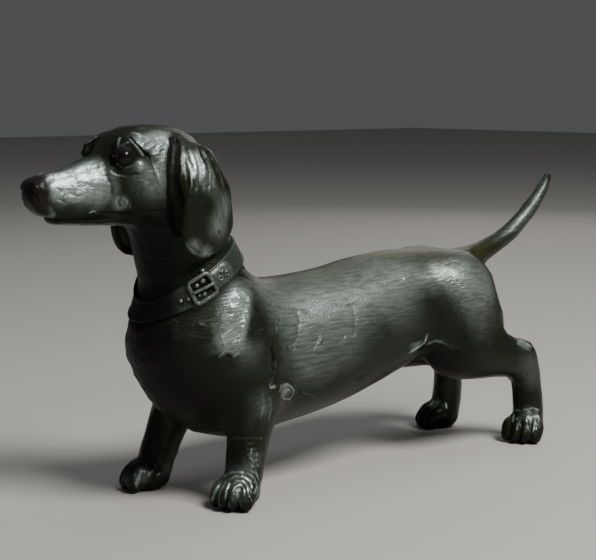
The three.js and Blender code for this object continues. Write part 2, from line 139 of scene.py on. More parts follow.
# The photograph's view: a camera to the dog's front left, level with its head and looking slightly down.
view = {
    "azimuth": 40.0,          # degrees from the left side towards the nose
    "focalPixels": 1437.0,
    "imageWidth": 596,
    "imageHeight": 560,
    "horizon": 90.0,          # pixels from the top
    "place": (-399.64, -457.0, 162.0),
}


def cameraAxes():
    azimuth = math.radians(view["azimuth"])
    pitch = math.atan((view["imageHeight"] / 2 - view["horizon"]) / view["focalPixels"])
    level = math.cos(pitch)
    forward = Vector((math.sin(azimuth) * level, math.cos(azimuth) * level, -math.sin(pitch)))
    right = Vector((math.cos(azimuth), -math.sin(azimuth), 0))
    return forward, right, right.cross(forward)


def addCamera():
    forward, right, up = cameraAxes()
    bpy.ops.object.camera_add(location=Vector(view["place"]) * mm)
    camera = bpy.context.object
    camera.name = "photoCamera"
    camera.rotation_euler = forward.to_track_quat("-Z", "Y").to_euler()
    camera.data.sensor_width = 36
    camera.data.lens = 36 * view["focalPixels"] / view["imageWidth"]
    camera.data.clip_start = 0.01
    bpy.context.scene.camera = camera


def pixelRay(pixel):
    forward, right, up = cameraAxes()
    across = (pixel[0] - view["imageWidth"] / 2) / view["focalPixels"]
    down = (pixel[1] - view["imageHeight"] / 2) / view["focalPixels"]
    return Vector(view["place"]) * mm, (forward + right * across - up * down).normalized()


def seenAt(tree, pixel):
    # Where the ray through a pixel meets the surface, and the surface's normal there.
    place, direction = pixelRay(pixel)
    return tree.ray_cast(place, direction)[:2]


# Where the collar lies round the neck

# The strap round the neck, with its frame buckle and tongue. The turn is in degrees from the nape towards
# the dog's left, lengths are in millimetres, and rise is the height over the neck.
collar = {
    "centre": (-73.84, 0.0, 89.0),
    "tilt": 30.0,
    "arch": 1.7,
    "archReach": 21.0,
    "width": 8.6,
    "thickness": 0.9,
    "bead": 0.45,
    "neck": 20.0,
    "buckleTurn": 107.5,
    "buckleLength": 8.6,
    "buckleHeight": 10.0,
    "buckleBar": 1.5,
    "tongueTip": 66.0,
    "tongueWidth": 7.0,
    "tongueRise": 0.7,
    # Silver on each collar piece, partly wear and partly painted highlight.
    "rubbed": {"collarStrap": 0.1, "collarTongue": 0.28, "collarBuckle": 0.42, "collarProng": 0.42,
               "collarStud": 0.7, "collarEyelet": 0.6, "collarBoss": 0.5},
    "studProfile": [(1, -0.3), (1, 0.25), (0.86, 0.6), (0.55, 0.9), (0.15, 1)],
    "farthest": 40.0,         # from the neck's axis, for skin that can lie under the strap
    "front": -112.0,          # and the foremost place for it
    # Painted shade: the collar darkens towards the throat, and in a thin line round the buckle.
    "throat": (128, 146),     # turns where the collar darkens towards the throat
    "darkLine": (1.5, 0.4),   # where the dark line round the buckle ends and begins
    "buckleCorner": 1.4,
    "buckleRise": 1.5,
    "prongWidth": 1.3,
    "prongRise": 1.1,
    "studRise": 0.6,
    "bossRise": 0.45,
    "eyeletWidth": 0.55,
    "eyeletRise": 0.5,
    "tongueRound": 2.6,
    "sampled": 10.0,          # height of neck that is measured to either side of the strap
    "clearOfNeck": 32.0,      # where the measuring rays start
    "sink": 1.2,
    "eyeletRadius": 0.85,
    "studs": [(125.5, -0.9, 0.7), (133.5, -0.4, 0.7), (97.5, 5.5, 0.85)],
    "eyelets": [(80.5, 1.9), (76.0, -0.6), (85.5, -0.5)],
    "bosses": [(103.5, 2.3, 0.9), (111.5, 1.9, 0.8), (108.5, -2.4, 0.9), (114.0, -1.9, 0.6)],
}

# Millimetres along the strap for a degree of turn.
perDegree = math.radians(collar["neck"])


def collarCoordinates(points):
    # For points in millimetres: the height over the strap's middle, the turn from the nape in radians
    # and the distance from the neck's axis.
    tilt = math.radians(collar["tilt"])
    away = points - np.array(collar["centre"])
    back = away[:, 0] * math.cos(tilt) + away[:, 2] * math.sin(tilt)
    arch = collar["arch"] * (1 - (away[:, 0] / collar["archReach"]) ** 2)
    up = away[:, 2] * math.cos(tilt) - away[:, 0] * math.sin(tilt) - arch
    turn = np.arctan2(-away[:, 1], back)
    return up, turn, np.hypot(back, away[:, 1])


def nearCollar(points, margin):
    up, turn, reach = collarCoordinates(points)
    inside = (reach < collar["farthest"]) & (points[:, 0] > collar["front"])
    edge = collar["width"] / 2 + margin
    return inside * smoothStep(edge + 1.5, edge, np.abs(up))


# The casting

# The casting's skin. Lengths are in millimetres.
skin = {
    "voxel": 0.5,
    "facetRounds": 14,        # smoothing passes that take the solid's facets away
    "collarRounds": 90,       # and those that clear the ground under the strap
    "hairDepth": 0.16,
    "hairWidth": 1.15,
    "hairLength": 7.0,
    "dimpleDepth": 0.10,
    "triangles": 190000,
    "swellDepth": 0.12,
    "swellSize": 14,
    "patchSize": 17,
    "dimpleSize": 2.6,
    "pitSize": 1.4,
    "wander": 2.2,
    "wanderSize": 11,
    "headEnd": (-100, -92),   # along the body, where the broad smoothing fades out
    "pawTops": (14, 24),      # up from the ground, where it fades out too
    "legTops": (20, 45),      # where the hair turns from upright to lengthwise
    "soleEdge": (0.4, 1.6),   # where the relief fades out towards the ground
    "headStart": -86,         # before it the finish's hair is at least half upright
    "faceDetail": (-88, -98),  # where the mesh stays finer
    "pawDetail": (20, 14),
    "earDetail": 0.8,
    "detailKept": 0.85,
    "hairMark": 0.35,         # share of the hair in the relief that the finish reads
    "ears": {"side": 19, "back": -62, "bottom": 97},
}

# Carving that the photograph shows, as strokes in its pixels: points, width and height in millimetres.
# A stroke is laid on the surface that the camera sees, and on the other side as well.
faceStrokes = [
    ([(122, 157), (130, 157)], 3.9, -1.5),
    ([(130, 140), (136, 147), (143, 155)], 0.9, 0.75),
    ([(129, 136), (134, 142), (141, 149), (149, 158)], 0.8, -0.8),
    ([(131, 142), (124, 144), (118, 149), (115, 155)], 0.9, 0.28),
    ([(120, 138), (118, 147)], 0.9, 0.6),
    ([(113, 156), (117, 157)], 0.7, 0.5),
    ([(116, 163), (119, 163)], 0.7, 0.5),
    ([(110, 160), (113, 161)], 0.9, -0.6),
    ([(117, 164), (124, 168), (131, 166), (136, 161)], 0.9, 0.22),
    ([(145, 152), (150, 156)], 1.6, -0.5),
    ([(138, 163), (141, 168)], 1.6, 0.55),
    ([(133, 133), (141, 137), (150, 139)], 2.2, 0.4),
    ([(114, 172), (126, 175), (140, 173)], 1.2, -0.3),
    ([(143, 144), (150, 141)], 0.8, 0.4),
    ([(147, 149), (156, 144)], 0.8, 0.4),
    ([(152, 155), (160, 152)], 0.7, 0.35),
    ([(155, 138), (163, 136)], 0.8, 0.35),
    ([(158, 147), (164, 143)], 0.8, 0.35),
    ([(159, 152), (165, 148)], 0.6, -0.35),
    ([(166, 137), (170, 146), (172, 157)], 0.9, 0.35),
    ([(152, 159), (156, 172), (162, 188)], 1.2, 0.25),
    ([(46, 217), (56, 220), (80, 219.5), (105, 219), (127, 218)], 0.9, -0.5),
    ([(86, 215), (97, 213), (120, 213.5), (145, 212), (166, 210)], 0.9, -0.3),
    ([(88, 214), (93, 211), (98, 214)], 0.9, 0.4),
    ([(117, 197), (115, 203), (118, 209)], 0.7, 0.28),
    ([(121, 197), (119, 203), (122, 208)], 0.6, -0.3),
    ([(122, 197), (127, 201), (126, 207), (121, 207)], 0.7, 0.3),
    ([(129, 203), (131, 209)], 0.7, 0.25),
    ([(104, 165), (108, 176), (112, 186), (113, 196)], 1.6, -0.3),
    ([(48, 179), (60, 174), (75, 169), (92, 163)], 2.2, 0.35),
    ([(44, 178), (52, 176)], 3.4, 0.8),
    ([(34, 201), (41, 208), (49, 213)], 3.6, 1.0),
    ([(33, 187), (35, 190)], 1.8, 0.7),
    ([(38, 188), (44, 190), (50, 192)], 2.0, 0.5),
    ([(58, 199), (66, 202)], 0.8, -0.2),
    ([(70, 193), (77, 196), (85, 195)], 0.8, -0.2),
    ([(56, 188), (62, 191), (60, 195)], 0.8, -0.2),
    ([(86, 183), (92, 187), (98, 186)], 0.8, -0.18),
    ([(72, 184), (76, 187), (74, 190)], 0.7, 0.15),
    ([(32, 188), (35, 195), (38, 203)], 0.9, -0.4),
    ([(175, 140), (174, 155), (173, 172), (173, 192), (174, 212), (178, 230)], 3.4, -1.6),
    ([(175, 135), (177, 141)], 1.0, -0.5),
]

earStrokes = [
    ([(182, 152), (180, 180), (179, 205), (180, 228), (186, 243), (194, 254), (203, 258)], 0.9, 0.24),
    ([(188, 148), (191, 158), (195, 166), (196, 178)], 1.3, 0.26),
    ([(192, 148), (196, 158), (199, 168), (199, 182)], 0.9, -0.23),
    ([(196, 147), (200, 156), (204, 166), (205, 178)], 1.1, 0.26),
    ([(200, 149), (205, 160), (209, 172), (209, 186)], 0.9, -0.21),
    ([(204, 151), (210, 163), (214, 176), (214, 188)], 1.1, 0.23),
    ([(209, 155), (215, 168), (219, 182)], 0.9, -0.18),
    ([(214, 160), (220, 174), (224, 190)], 1.2, 0.18),
    ([(185, 158), (187, 172), (188, 188)], 1.0, -0.24),
    ([(187, 162), (191, 174), (192, 188)], 0.8, 0.24),
    ([(207, 182), (211, 186), (210, 191)], 1.0, 0.18),
    ([(222, 196), (226, 208), (226, 220)], 1.6, 0.2),
    ([(219, 231), (220, 233)], 1.1, -0.31),
    ([(213, 227), (217, 226)], 1.1, 0.24),
    ([(203, 253), (196, 240)], 0.8, -0.18),
    ([(204, 252), (203, 237)], 0.8, -0.21),
    ([(206, 252), (213, 240)], 0.8, -0.18),
    ([(201, 254), (189, 246)], 0.8, -0.24),
    ([(209, 253), (219, 246)], 0.8, -0.24),
    ([(203, 246), (204, 251)], 1.2, 0.18),
]

bodyStrokes = [
    ([(229, 305), (234, 312), (231, 320)], 0.8, 0.25),
    ([(241, 292), (247, 296), (249, 303)], 0.8, 0.25),
    ([(236, 296), (243, 303), (247, 312)], 0.8, 0.3),
    ([(232, 306), (238, 311), (240, 319)], 0.8, 0.3),
    ([(226, 330), (222, 340), (226, 348)], 0.8, 0.3),
    ([(244, 322), (241, 336), (237, 346)], 0.8, 0.3),
    ([(252, 298), (252, 312), (249, 330), (246, 344)], 2.4, -0.22),
    ([(258, 330), (266, 322), (268, 310)], 1.2, -0.2),
    ([(192, 336), (206, 339), (218, 337)], 0.9, 0.10),
    ([(190, 326), (204, 326)], 0.9, 0.08),
    ([(218, 358), (224, 352)], 0.9, 0.35),
    ([(231, 360), (235, 355), (239, 353)], 0.9, 0.35),
    ([(226, 355), (231, 358)], 1.2, -0.5),
    ([(271, 347), (274, 359), (273, 371), (269, 384)], 1.0, -1.0),
    ([(275, 352), (276, 362), (274, 374)], 0.7, 0.12),
    ([(270, 388), (275, 386)], 1.0, 0.4),
    ([(279, 392), (281, 386), (287, 384), (292, 388), (293, 394), (289, 399), (284, 399), (281, 395)],
     0.9, 0.42),
    ([(285, 393), (287, 389), (290, 391), (288, 396)], 0.8, 0.4),
    ([(292, 388), (297, 393)], 0.6, 0.25),
    ([(297, 310), (299, 322), (297, 336), (291, 348)], 0.6, -0.24),
    ([(288, 348), (293, 346), (296, 349), (291, 353)], 0.6, 0.3),
    ([(279, 318), (278, 333)], 0.6, -0.25),
    ([(277, 325), (276, 335)], 0.6, 0.3),
    ([(306, 313), (311, 311)], 0.6, -0.2),
    ([(313, 352), (318, 344), (322, 338)], 0.6, 0.35),
    ([(317, 350), (325, 339)], 0.6, -0.3),
    ([(343, 342), (347, 335), (353, 337), (358, 333)], 0.6, 0.3),
    ([(351, 304), (355, 320), (353, 333)], 1.2, -0.15),
    ([(362, 324), (370, 321), (378, 322)], 1.0, 0.18),
    ([(300, 392), (318, 396)], 1.0, 0.18),
    ([(262, 392), (264, 405), (260, 420)], 0.9, 0.2),
    ([(269, 394), (271, 408), (267, 425)], 0.9, 0.2),
    ([(409, 352), (416, 348), (424, 342), (427, 335)], 1.0, 0.8),
    ([(427, 344), (436, 341), (446, 344), (454, 351)], 1.2, 0.3),
    ([(446, 266), (451, 262), (457, 261)], 0.8, -0.2),
    ([(404, 279), (411, 276)], 0.8, 0.3),
    ([(472, 250), (477, 257), (482, 263)], 2.2, -0.2),
    ([(517, 344), (524, 342), (531, 347)], 1.6, 0.4),
    ([(504, 334), (509, 341), (512, 348)], 1.4, -0.35),
    ([(529, 394), (541, 394)], 0.9, -0.45),
    ([(238, 262), (246, 270), (262, 276)], 1.0, -0.3),
    ([(233, 268), (241, 276), (250, 280)], 0.9, -0.2),
]

pawStrokes = [
    ([(228, 438), (236, 438), (245, 438), (254, 438), (262, 438)], 0.7, 0.2),
    ([(212, 496), (213, 502)], 0.7, 0.4),
    ([(219, 503), (221, 507)], 0.7, 0.4),
    ([(229, 502), (230, 508)], 0.7, 0.4),
    ([(240, 501), (242, 507)], 0.7, 0.4),
    ([(249, 496), (252, 502)], 0.7, 0.4),
    ([(135, 474), (138, 484)], 0.8, 0.4),
    ([(130, 485), (138, 488)], 0.7, 0.4),
    ([(119, 484), (127, 488)], 0.7, 0.35),
    ([(243, 442), (249, 444), (256, 442)], 0.55, 0.16),
    ([(245, 447), (251, 450), (258, 447)], 0.55, 0.18),
    ([(250, 452), (255, 455), (259, 453)], 0.55, 0.2),
    ([(248, 457), (253, 461), (258, 459)], 0.55, 0.24),
    ([(249, 463), (253, 467), (258, 465)], 0.6, 0.28),
    ([(252, 446), (250, 455), (253, 463), (251, 470)], 0.55, 0.22),
    ([(257, 450), (256, 460), (258, 468)], 0.55, 0.22),
    ([(206, 489), (209, 481), (216, 475), (223, 473)], 0.7, 0.47),
    ([(209, 494), (211, 487), (216, 481)], 0.7, 0.43),
    ([(213, 499), (215, 491), (219, 485)], 0.7, 0.47),
    ([(219, 502), (220, 494), (223, 487), (226, 480)], 0.7, 0.47),
    ([(225, 499), (226, 491), (229, 484)], 0.7, 0.39),
    ([(224, 477), (231, 472), (239, 472), (245, 474)], 0.7, 0.47),
    ([(229, 480), (235, 476), (243, 477), (250, 482), (252, 489)], 0.7, 0.47),
    ([(231, 486), (236, 481), (243, 482), (247, 487), (248, 494)], 0.7, 0.47),
    ([(232, 493), (235, 487), (240, 485), (244, 489), (244, 496)], 0.7, 0.47),
    ([(237, 498), (237, 492), (240, 490)], 0.7, 0.43),
    ([(247, 473), (254, 478), (257, 486), (254, 494)], 0.7, 0.43),
    ([(251, 471), (257, 475)], 0.7, 0.4),
    ([(255, 470), (258, 480)], 0.7, 0.4),
    ([(507, 420), (510, 414), (517, 410), (526, 409)], 0.7, 0.43),
    ([(514, 412), (513, 421), (517, 430)], 0.8, 0.47),
    ([(520, 411), (517, 419), (521, 428)], 0.7, 0.39),
    ([(528, 411), (526, 420), (528, 430)], 0.8, 0.47),
    ([(530, 412), (535, 421), (533, 432)], 0.8, 0.47),
    ([(536, 409), (539, 418), (536, 430)], 0.8, 0.43),
    ([(524, 410), (532, 408), (539, 410)], 0.7, 0.45),
    ([(430, 406), (433, 400)], 1.1, 0.39),
    ([(435, 408), (438, 401)], 1.1, 0.39),
    ([(445, 403), (447, 409)], 1.1, 0.4),
    ([(117, 478), (119, 484)], 0.9, 0.4),
    ([(126, 480), (127, 486)], 1.0, 0.4),
    ([(135, 482), (137, 487)], 0.9, 0.4),
    ([(138, 480), (141, 470)], 1.4, 0.4),
    ([(148, 476), (153, 470)], 1.1, 0.3),
    ([(157, 476), (160, 473)], 0.9, 0.4),
]

# Broader forms, which change the shape and not the finish.
formStrokes = [
    ([(222, 332), (227, 313), (238, 299), (250, 293)], 5.0, 0.6),
    ([(221, 344), (232, 351), (244, 344)], 3.2, 0.5),
    ([(251, 300), (248, 320), (246, 336)], 3.0, 0.45),
    ([(303, 378), (320, 369), (336, 359)], 3.0, 0.4),
    ([(448, 292), (453, 310), (457, 330), (460, 350)], 8.0, -1.2),
    ([(398, 306), (418, 300), (436, 310), (444, 328)], 14.0, -0.7),
    ([(420, 357), (435, 353), (450, 358)], 5.0, -1.2),
    ([(474, 290), (482, 312), (482, 335)], 6.0, 0.5),
    ([(150, 340), (158, 352), (160, 366)], 3.0, 0.3),
    ([(158, 386), (166, 379)], 2.0, 0.35),
    ([(262, 325), (266, 340), (264, 360)], 4.0, 0.3),
]

# Broad corrections to the form: place, radius and height in millimetres.
reshapes = [
    ((-140.5, 0, 132.0), 6.0, -1.4),
    ((-138.0, 0, 118.5), 6.0, 0.9),
]

# Silver patches, partly where handling or dry brushing has left the dark finish silvery and partly painted
# highlights where the light glances on the muzzle, shoulder, upper flank, rump and tail: pixel, radius in
# mm and strength.
wearAndHighlightPatches = [
    ((42, 189), 4, 1.0), ((52, 187), 5, 0.9), ((66, 183), 6, 0.85), ((80, 180), 7, 0.85),
    ((95, 180), 7, 0.85), ((60, 196), 4, 0.25), ((80, 197), 4, 0.2), ((97, 199), 4, 0.25),
    ((104, 188), 5, 0.6), ((90, 168), 5, 0.4), ((145, 144), 3.4, 1.0), ((153, 140), 4, 1.0),
    ((163, 138), 4.6, 1.0), ((171, 148), 3.6, 0.9), ((160, 152), 4, 0.5), ((121, 203), 3, 0.7),
    ((141, 166), 2.4, 1.0), ((150, 180), 7, 0.3), ((160, 180), 6, 0.3), ((137, 138), 3, 0.3),
    ((191, 160), 3.4, 1.0), ((197, 168), 4, 0.9), ((206, 176), 4, 0.35), ((212, 188), 4, 0.2),
    ((224, 205), 5, 0.35), ((205, 255), 3.4, 0.5), ((194, 247), 3, 0.4), ((219, 225), 5, 0.4),
    ((244, 292), 5, 0.9), ((238, 300), 5, 1.0), ((244, 308), 4, 1.0), ((234, 316), 5, 1.0),
    ((240, 324), 4, 1.0), ((230, 332), 5, 1.0), ((238, 340), 4, 0.9), ((224, 342), 4, 0.9),
    ((231, 349), 3.4, 0.9), ((205, 300), 6, 0.15), ((250, 352), 5, 0.3), ((285, 391), 2.6, 0.7),
    ((262, 405), 5, 0.25), ((275, 300), 12, 0.35), ((300, 305), 16, 0.45), ((330, 295), 16, 0.5),
    ((360, 285), 16, 0.55), ((390, 275), 12, 0.75), ((412, 272), 9, 0.95), ((436, 271), 8, 0.85),
    ((310, 340), 14, 0.35), ((345, 330), 14, 0.35), ((460, 275), 10, 0.5), ((472, 300), 9, 0.35),
    ((482, 322), 8, 0.15), ((400, 300), 12, 0.35), ((315, 368), 8, 0.3), ((416, 347), 2.6, 0.8),
    ((524, 345), 3.6, 0.9), ((530, 372), 6, 0.3), ((253, 462), 4, 0.2), ((240, 476), 5, 0.4),
    ((222, 480), 5, 0.25), ((212, 490), 4, 0.2), ((238, 490), 5, 0.25), ((142, 477), 3.5, 0.4),
    ((126, 483), 4, 0.2), ((115, 482), 3, 0.2), ((527, 413), 3.4, 0.3), ((535, 418), 4, 0.25),
    ((434, 403), 3, 0.3), ((474, 268), 12, 0.6), ((486, 290), 9, 0.4), ((504, 238), 1.8, 0.4),
    ((511, 232), 2.0, 0.7), ((517, 226), 2.0, 0.8), ((523, 219), 2.0, 0.8), ((528, 212), 2.0, 0.7),
    ((533, 204), 1.8, 0.6), ((538, 196), 1.8, 0.6), ((543, 187), 1.8, 0.8),
]

# Painted shade: dark patches where shade falls round the eyes, before the ears, under the jaw, down the
# neck and chest, behind the shoulder, in the flank hollow, under the belly and in smaller folds.
paintedShadePatches = [
    ((124, 150), 4.5, 1.0), ((131, 154), 3.5, 1.0), ((115, 160), 2.5, 0.8), ((148, 154), 2.0, 0.8),
    ((172, 160), 3, 1.0), ((172, 180), 3, 1.0), ((172, 200), 3, 1.0), ((174, 220), 3, 1.0),
    ((150, 235), 12, 1.0), ((155, 260), 12, 1.0), ((150, 280), 12, 1.0), ((150, 320), 16, 0.9),
    ((165, 350), 18, 0.9), ((175, 390), 20, 0.9), ((210, 400), 16, 0.8), ((135, 217), 6, 0.7),
    ((165, 222), 6, 0.8), ((453, 312), 5, 0.4), ((455, 330), 7, 0.8), ((458, 350), 9, 0.9),
    ((468, 364), 10, 0.6), ((412, 358), 3, 1.0), ((422, 356), 4, 1.0), ((433, 355), 5, 1.0),
    ((444, 355), 5, 1.0), ((440, 363), 5, 1.0), ((428, 364), 4, 1.0), ((452, 362), 7, 0.9),
    ((440, 298), 7, 0.35), ((428, 308), 9, 0.2), ((126, 157), 5, 0.55), ((440, 335), 9, 0.3),
    ((258, 312), 4, 0.5), ((256, 335), 4, 0.5), ((214, 362), 5, 0.4), ((230, 358), 3, 0.8),
    ((305, 395), 10, 0.3), ((285, 410), 8, 0.3), ((320, 352), 7, 0.3), ((290, 365), 7, 0.25),
    ((298, 314), 1.6, 0.45), ((299, 322), 1.6, 0.45), ((298, 331), 1.6, 0.45), ((295, 340), 1.4, 0.35),
    ((235, 455), 6, 0.8), ((515, 385), 5, 0.7), ((520, 400), 5, 0.7), ((33, 198), 4, 0.8),
    ((46, 212), 4, 0.7), ((203, 228), 5, 0.35), ((206, 206), 4, 0.4),
]


def copyOfSolid(name):
    selectOnly(cadDog)
    bpy.ops.object.duplicate()
    body = bpy.context.object
    body.name = name
    body.parent = None
    for key in list(body.keys()):
        del body[key]
    bpy.ops.object.mode_set(mode="EDIT")
    bpy.ops.mesh.select_all(action="SELECT")
    bpy.ops.mesh.remove_doubles(threshold=0.00001)
    bpy.ops.object.mode_set(mode="OBJECT")
    body.data.materials.clear()
    return body


def strokePaths(surface, strokes):
    tree = treeOf(surface)
    laid = []
    for pixels, width, height in strokes:
        path = []
        for pixel in pixels:
            hit = seenAt(tree, pixel)[0]
            if hit is not None:
                path.append(np.array(hit) / mm)
        if len(path) > 1:
            laid.append((np.array(path), width, height))
    return laid


def formRelief(points):
    relief = np.zeros(len(points))
    for centre, radius, height in reshapes:
        relief += height * softBump(np.linalg.norm(points - np.array(centre), axis=1), radius)
    return relief


def patchCover(surface, points, patches):
    tree = treeOf(surface)
    cover = np.zeros(len(points))
    for pixel, radius, strength in patches:
        hit = seenAt(tree, pixel)[0]
        if hit is None:
            continue
        centre = np.array(hit) / mm
        for side in (1, -1):
            distance = np.linalg.norm(points - centre * np.array([1, side, 1]), axis=1)
            cover = 1 - (1 - cover) * (1 - strength * softBump(distance, 1.5 * radius))
    return cover


def strokeRelief(points, paths):
    relief = np.zeros(len(points))
    for path, width, height in paths:
        for side in (1, -1):
            line = path * np.array([1, side, 1])
            low = line.min(axis=0) - width
            high = line.max(axis=0) + width
            near = np.nonzero(np.all((points > low) & (points < high), axis=1))[0]
            if len(near) == 0:
                continue
            best = np.full(len(near), 1e9)
            fade = np.zeros(len(near))
            pieces = len(line) - 1
            for i in range(pieces):
                along = line[i + 1] - line[i]
                away = points[near] - line[i]
                share = np.clip(away @ along / (along @ along), 0, 1)
                distance = np.linalg.norm(away - share[:, None] * along, axis=1)
                closer = distance < best
                best = np.where(closer, distance, best)
                fade = np.where(closer, (i + share) / pieces, fade)
            taper = smoothStep(-0.25, 0.2, fade) * smoothStep(1.25, 0.8, fade)
            relief[near] += height * taper * softBump(best, width)
    return relief


def earCover(points):
    ears = skin["ears"]
    aside = np.abs(points[:, 1]) > ears["side"]
    return aside & (points[:, 0] < ears["back"]) & (points[:, 2] > ears["bottom"])


def hairRelief(points):
    # Short strokes that follow the coat: along the body, down the legs and ears, and back over the muzzle.
    lengthwise = smoothStep(*skin["legTops"], points[:, 2]) * (1 - earCover(points))
    wide, long = skin["hairWidth"], skin["hairLength"]
    wobble = skin["wander"] * noise(points / skin["wanderSize"], 3)
    narrow = (points + wobble[:, None]) / wide
    along = np.stack([points[:, 0] / long, narrow[:, 1], narrow[:, 2]], axis=1)
    upright = np.stack([narrow[:, 0], narrow[:, 1], points[:, 2] / long], axis=1)
    strokes = lengthwise * noise(along, 11) + (1 - lengthwise) * noise(upright, 17)
    patches = 0.55 + 0.45 * noise(points / skin["patchSize"], 23)
    dimples = noise(points / skin["dimpleSize"], 31) + 0.5 * noise(points / skin["pitSize"], 37)
    swell = noise(points / skin["swellSize"], 41)
    hair = skin["hairDepth"] * strokes * patches
    return hair + skin["dimpleDepth"] * dimples + skin["swellDepth"] * swell


def makeDog():
    body = copyOfSolid("dachshundCasting")
    applyModifier(body, "SUBSURF", levels=2, render_levels=2)
    applyModifier(body, "REMESH", mode="VOXEL", voxel_size=skin["voxel"] * mm)
    points = pointsOf(body) / mm
    broad = smoothStep(*skin["headEnd"], points[:, 0]) * smoothStep(*skin["pawTops"], points[:, 2])
    applyModifier(body, "SMOOTH", factor=0.5, iterations=skin["facetRounds"] * 2,
                  vertex_group=weightGroup(body, "broadForms", broad))
    strap = nearCollar(points, 1.0)
    applyModifier(body, "SMOOTH", factor=0.5, iterations=skin["collarRounds"],
                  vertex_group=weightGroup(body, "underStrap", strap))
    applyModifier(body, "SMOOTH", factor=0.5, iterations=4)
    print("casting: skin of", len(body.data.vertices), "points")

    smoothSkin = pointsOf(body)
    paths = strokePaths(body, faceStrokes + earStrokes + bodyStrokes + pawStrokes)
    points = smoothSkin / mm
    normals = normalsOf(body)
    quiet = 1 - nearCollar(points, 0)
    calm = quiet * smoothStep(*skin["soleEdge"], points[:, 2])
    carved = strokeRelief(points, paths) * quiet
    hair = hairRelief(points) * calm
    forms = strokeRelief(points, strokePaths(body, formStrokes)) * quiet
    relief = carved + forms + hair + formRelief(points)
    moved = smoothSkin + normals * (relief * calm)[:, None] * mm
    moved[:, 2] = np.maximum(moved[:, 2], 0)
    setPoints(body, moved)
    upright = 1 - smoothStep(*skin["legTops"], points[:, 2]) * (1 - earCover(points))
    upright = np.where(points[:, 0] < skin["headStart"], np.maximum(upright, 0.5), upright)
    # Marks for the finish: the relief, which also sets the painted shade in grooves; silver patches of
    # wear and painted highlight; painted shade; and how upright the hair lies.
    marks = {
        "relief": np.clip(0.5 + carved + skin["hairMark"] * hair, 0, 1),
        "rubbed": patchCover(body, points, wearAndHighlightPatches),
        "shaded": patchCover(body, points, paintedShadePatches),
        "upright": upright,
    }
    for name, values in marks.items():
        addMark(body, name, values)
    count = sum(len(face.vertices) - 2 for face in body.data.polygons)
    detail = np.maximum.reduce([
        smoothStep(*skin["faceDetail"], points[:, 0]),
        smoothStep(*skin["pawDetail"], points[:, 2]),
        skin["earDetail"] * earCover(points),
        np.clip(2 * np.abs(carved), 0, 1),
    ])
    applyModifier(body, "DECIMATE", ratio=min(1, skin["triangles"] / count), use_collapse_triangulate=True,
                  vertex_group=weightGroup(body, "plainForms", 1 - skin["detailKept"] * detail))
    selectOnly(body)
    bpy.ops.object.shade_smooth()
    body.vertex_groups.clear()
    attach(body, "root")
    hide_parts("dachshund")
    print("casting:", len(body.data.polygons), "triangles,", len(paths), "carved strokes")
    return body


# The collar, laid on the neck

def neckSurface(body):
    # Returns a function of turn in degrees, distance across the strap and rise, all measured on the neck.
    tree = treeOf(body)
    tilt = math.radians(collar["tilt"])
    backward = Vector((math.cos(tilt), 0, math.sin(tilt)))
    axis = Vector((-math.sin(tilt), 0, math.cos(tilt)))
    centre = Vector(collar["centre"])

    def aim(turn):
        angle = math.radians(turn)
        outward = backward * math.cos(angle) - Vector((0, 1, 0)) * math.sin(angle)
        along = collar["neck"] * math.cos(angle) * math.cos(tilt)
        return outward, collar["arch"] * (1 - (along / collar["archReach"]) ** 2)

    heights = np.linspace(-collar["sampled"], collar["sampled"], 41)
    turns = np.arange(0, 360, 4)
    reaches = np.zeros((len(turns), len(heights)))
    for i, turn in enumerate(turns):
        outward, arch = aim(turn)
        for k, height in enumerate(heights):
            start = centre + axis * (height + arch)
            hit = tree.ray_cast((start + outward * collar["clearOfNeck"]) * mm, -outward)[0]
            reaches[i, k] = (hit / mm - start).length if hit else collar["neck"]
    for attempt in range(3):
        reaches = (np.roll(reaches, 1, axis=0) + 2 * reaches + np.roll(reaches, -1, axis=0)) / 4
        padded = np.pad(reaches, ((0, 0), (2, 2)), mode="edge")
        reaches = sum(padded[:, k:k + len(heights)] for k in range(5)) / 5
    middle = len(heights) // 2

    def place(turn, across, rise):
        spot = (turn % 360) / 4
        low = int(spot) % len(turns)
        profile = reaches[low] * (1 - spot % 1) + reaches[(low + 1) % len(turns)] * (spot % 1)
        steps = np.hypot(np.diff(heights), np.diff(profile))
        length = np.concatenate([[0], np.cumsum(steps)])
        length -= length[middle]
        height = np.interp(across, length, heights)
        reach = np.interp(height, heights, profile)
        slope = np.interp(height + 0.5, heights, profile) - np.interp(height - 0.5, heights, profile)
        slope = max(-1.4, min(1.4, slope))
        size = math.hypot(1, slope)
        outward, arch = aim(turn)
        start = centre + axis * (height + arch - rise * slope / size)
        return (start + outward * (reach + rise / size)) * mm

    return place


def makeMesh(name, points, faces):
    mesh = bpy.data.meshes.new(name)
    mesh.from_pydata([tuple(point) for point in points], [], faces)
    mesh.update()
    thing = bpy.data.objects.new(name, mesh)
    bpy.context.collection.objects.link(thing)
    selectOnly(thing)
    bpy.ops.object.mode_set(mode="EDIT")
    bpy.ops.mesh.select_all(action="SELECT")
    bpy.ops.mesh.normals_make_consistent(inside=False)
    bpy.ops.object.mode_set(mode="OBJECT")
    bpy.ops.object.shade_smooth()
    return thing


def sweep(name, rings, closed):
    # A tube through rings of points, with its ends closed when it isn't a loop.
    count = len(rings[0])
    points = [point for ring in rings for point in ring]
    faces = []
    last = len(rings) if closed else len(rings) - 1
    for i in range(last):
        for k in range(count):
            a = i * count + k
            b = i * count + (k + 1) % count
            c = ((i + 1) % len(rings)) * count + (k + 1) % count
            d = ((i + 1) % len(rings)) * count + k
            faces.append((a, b, c, d))
    if not closed:
        faces.append(tuple(range(count))[::-1])
        faces.append(tuple((len(rings) - 1) * count + k for k in range(count)))
    return makeMesh(name, points, faces)


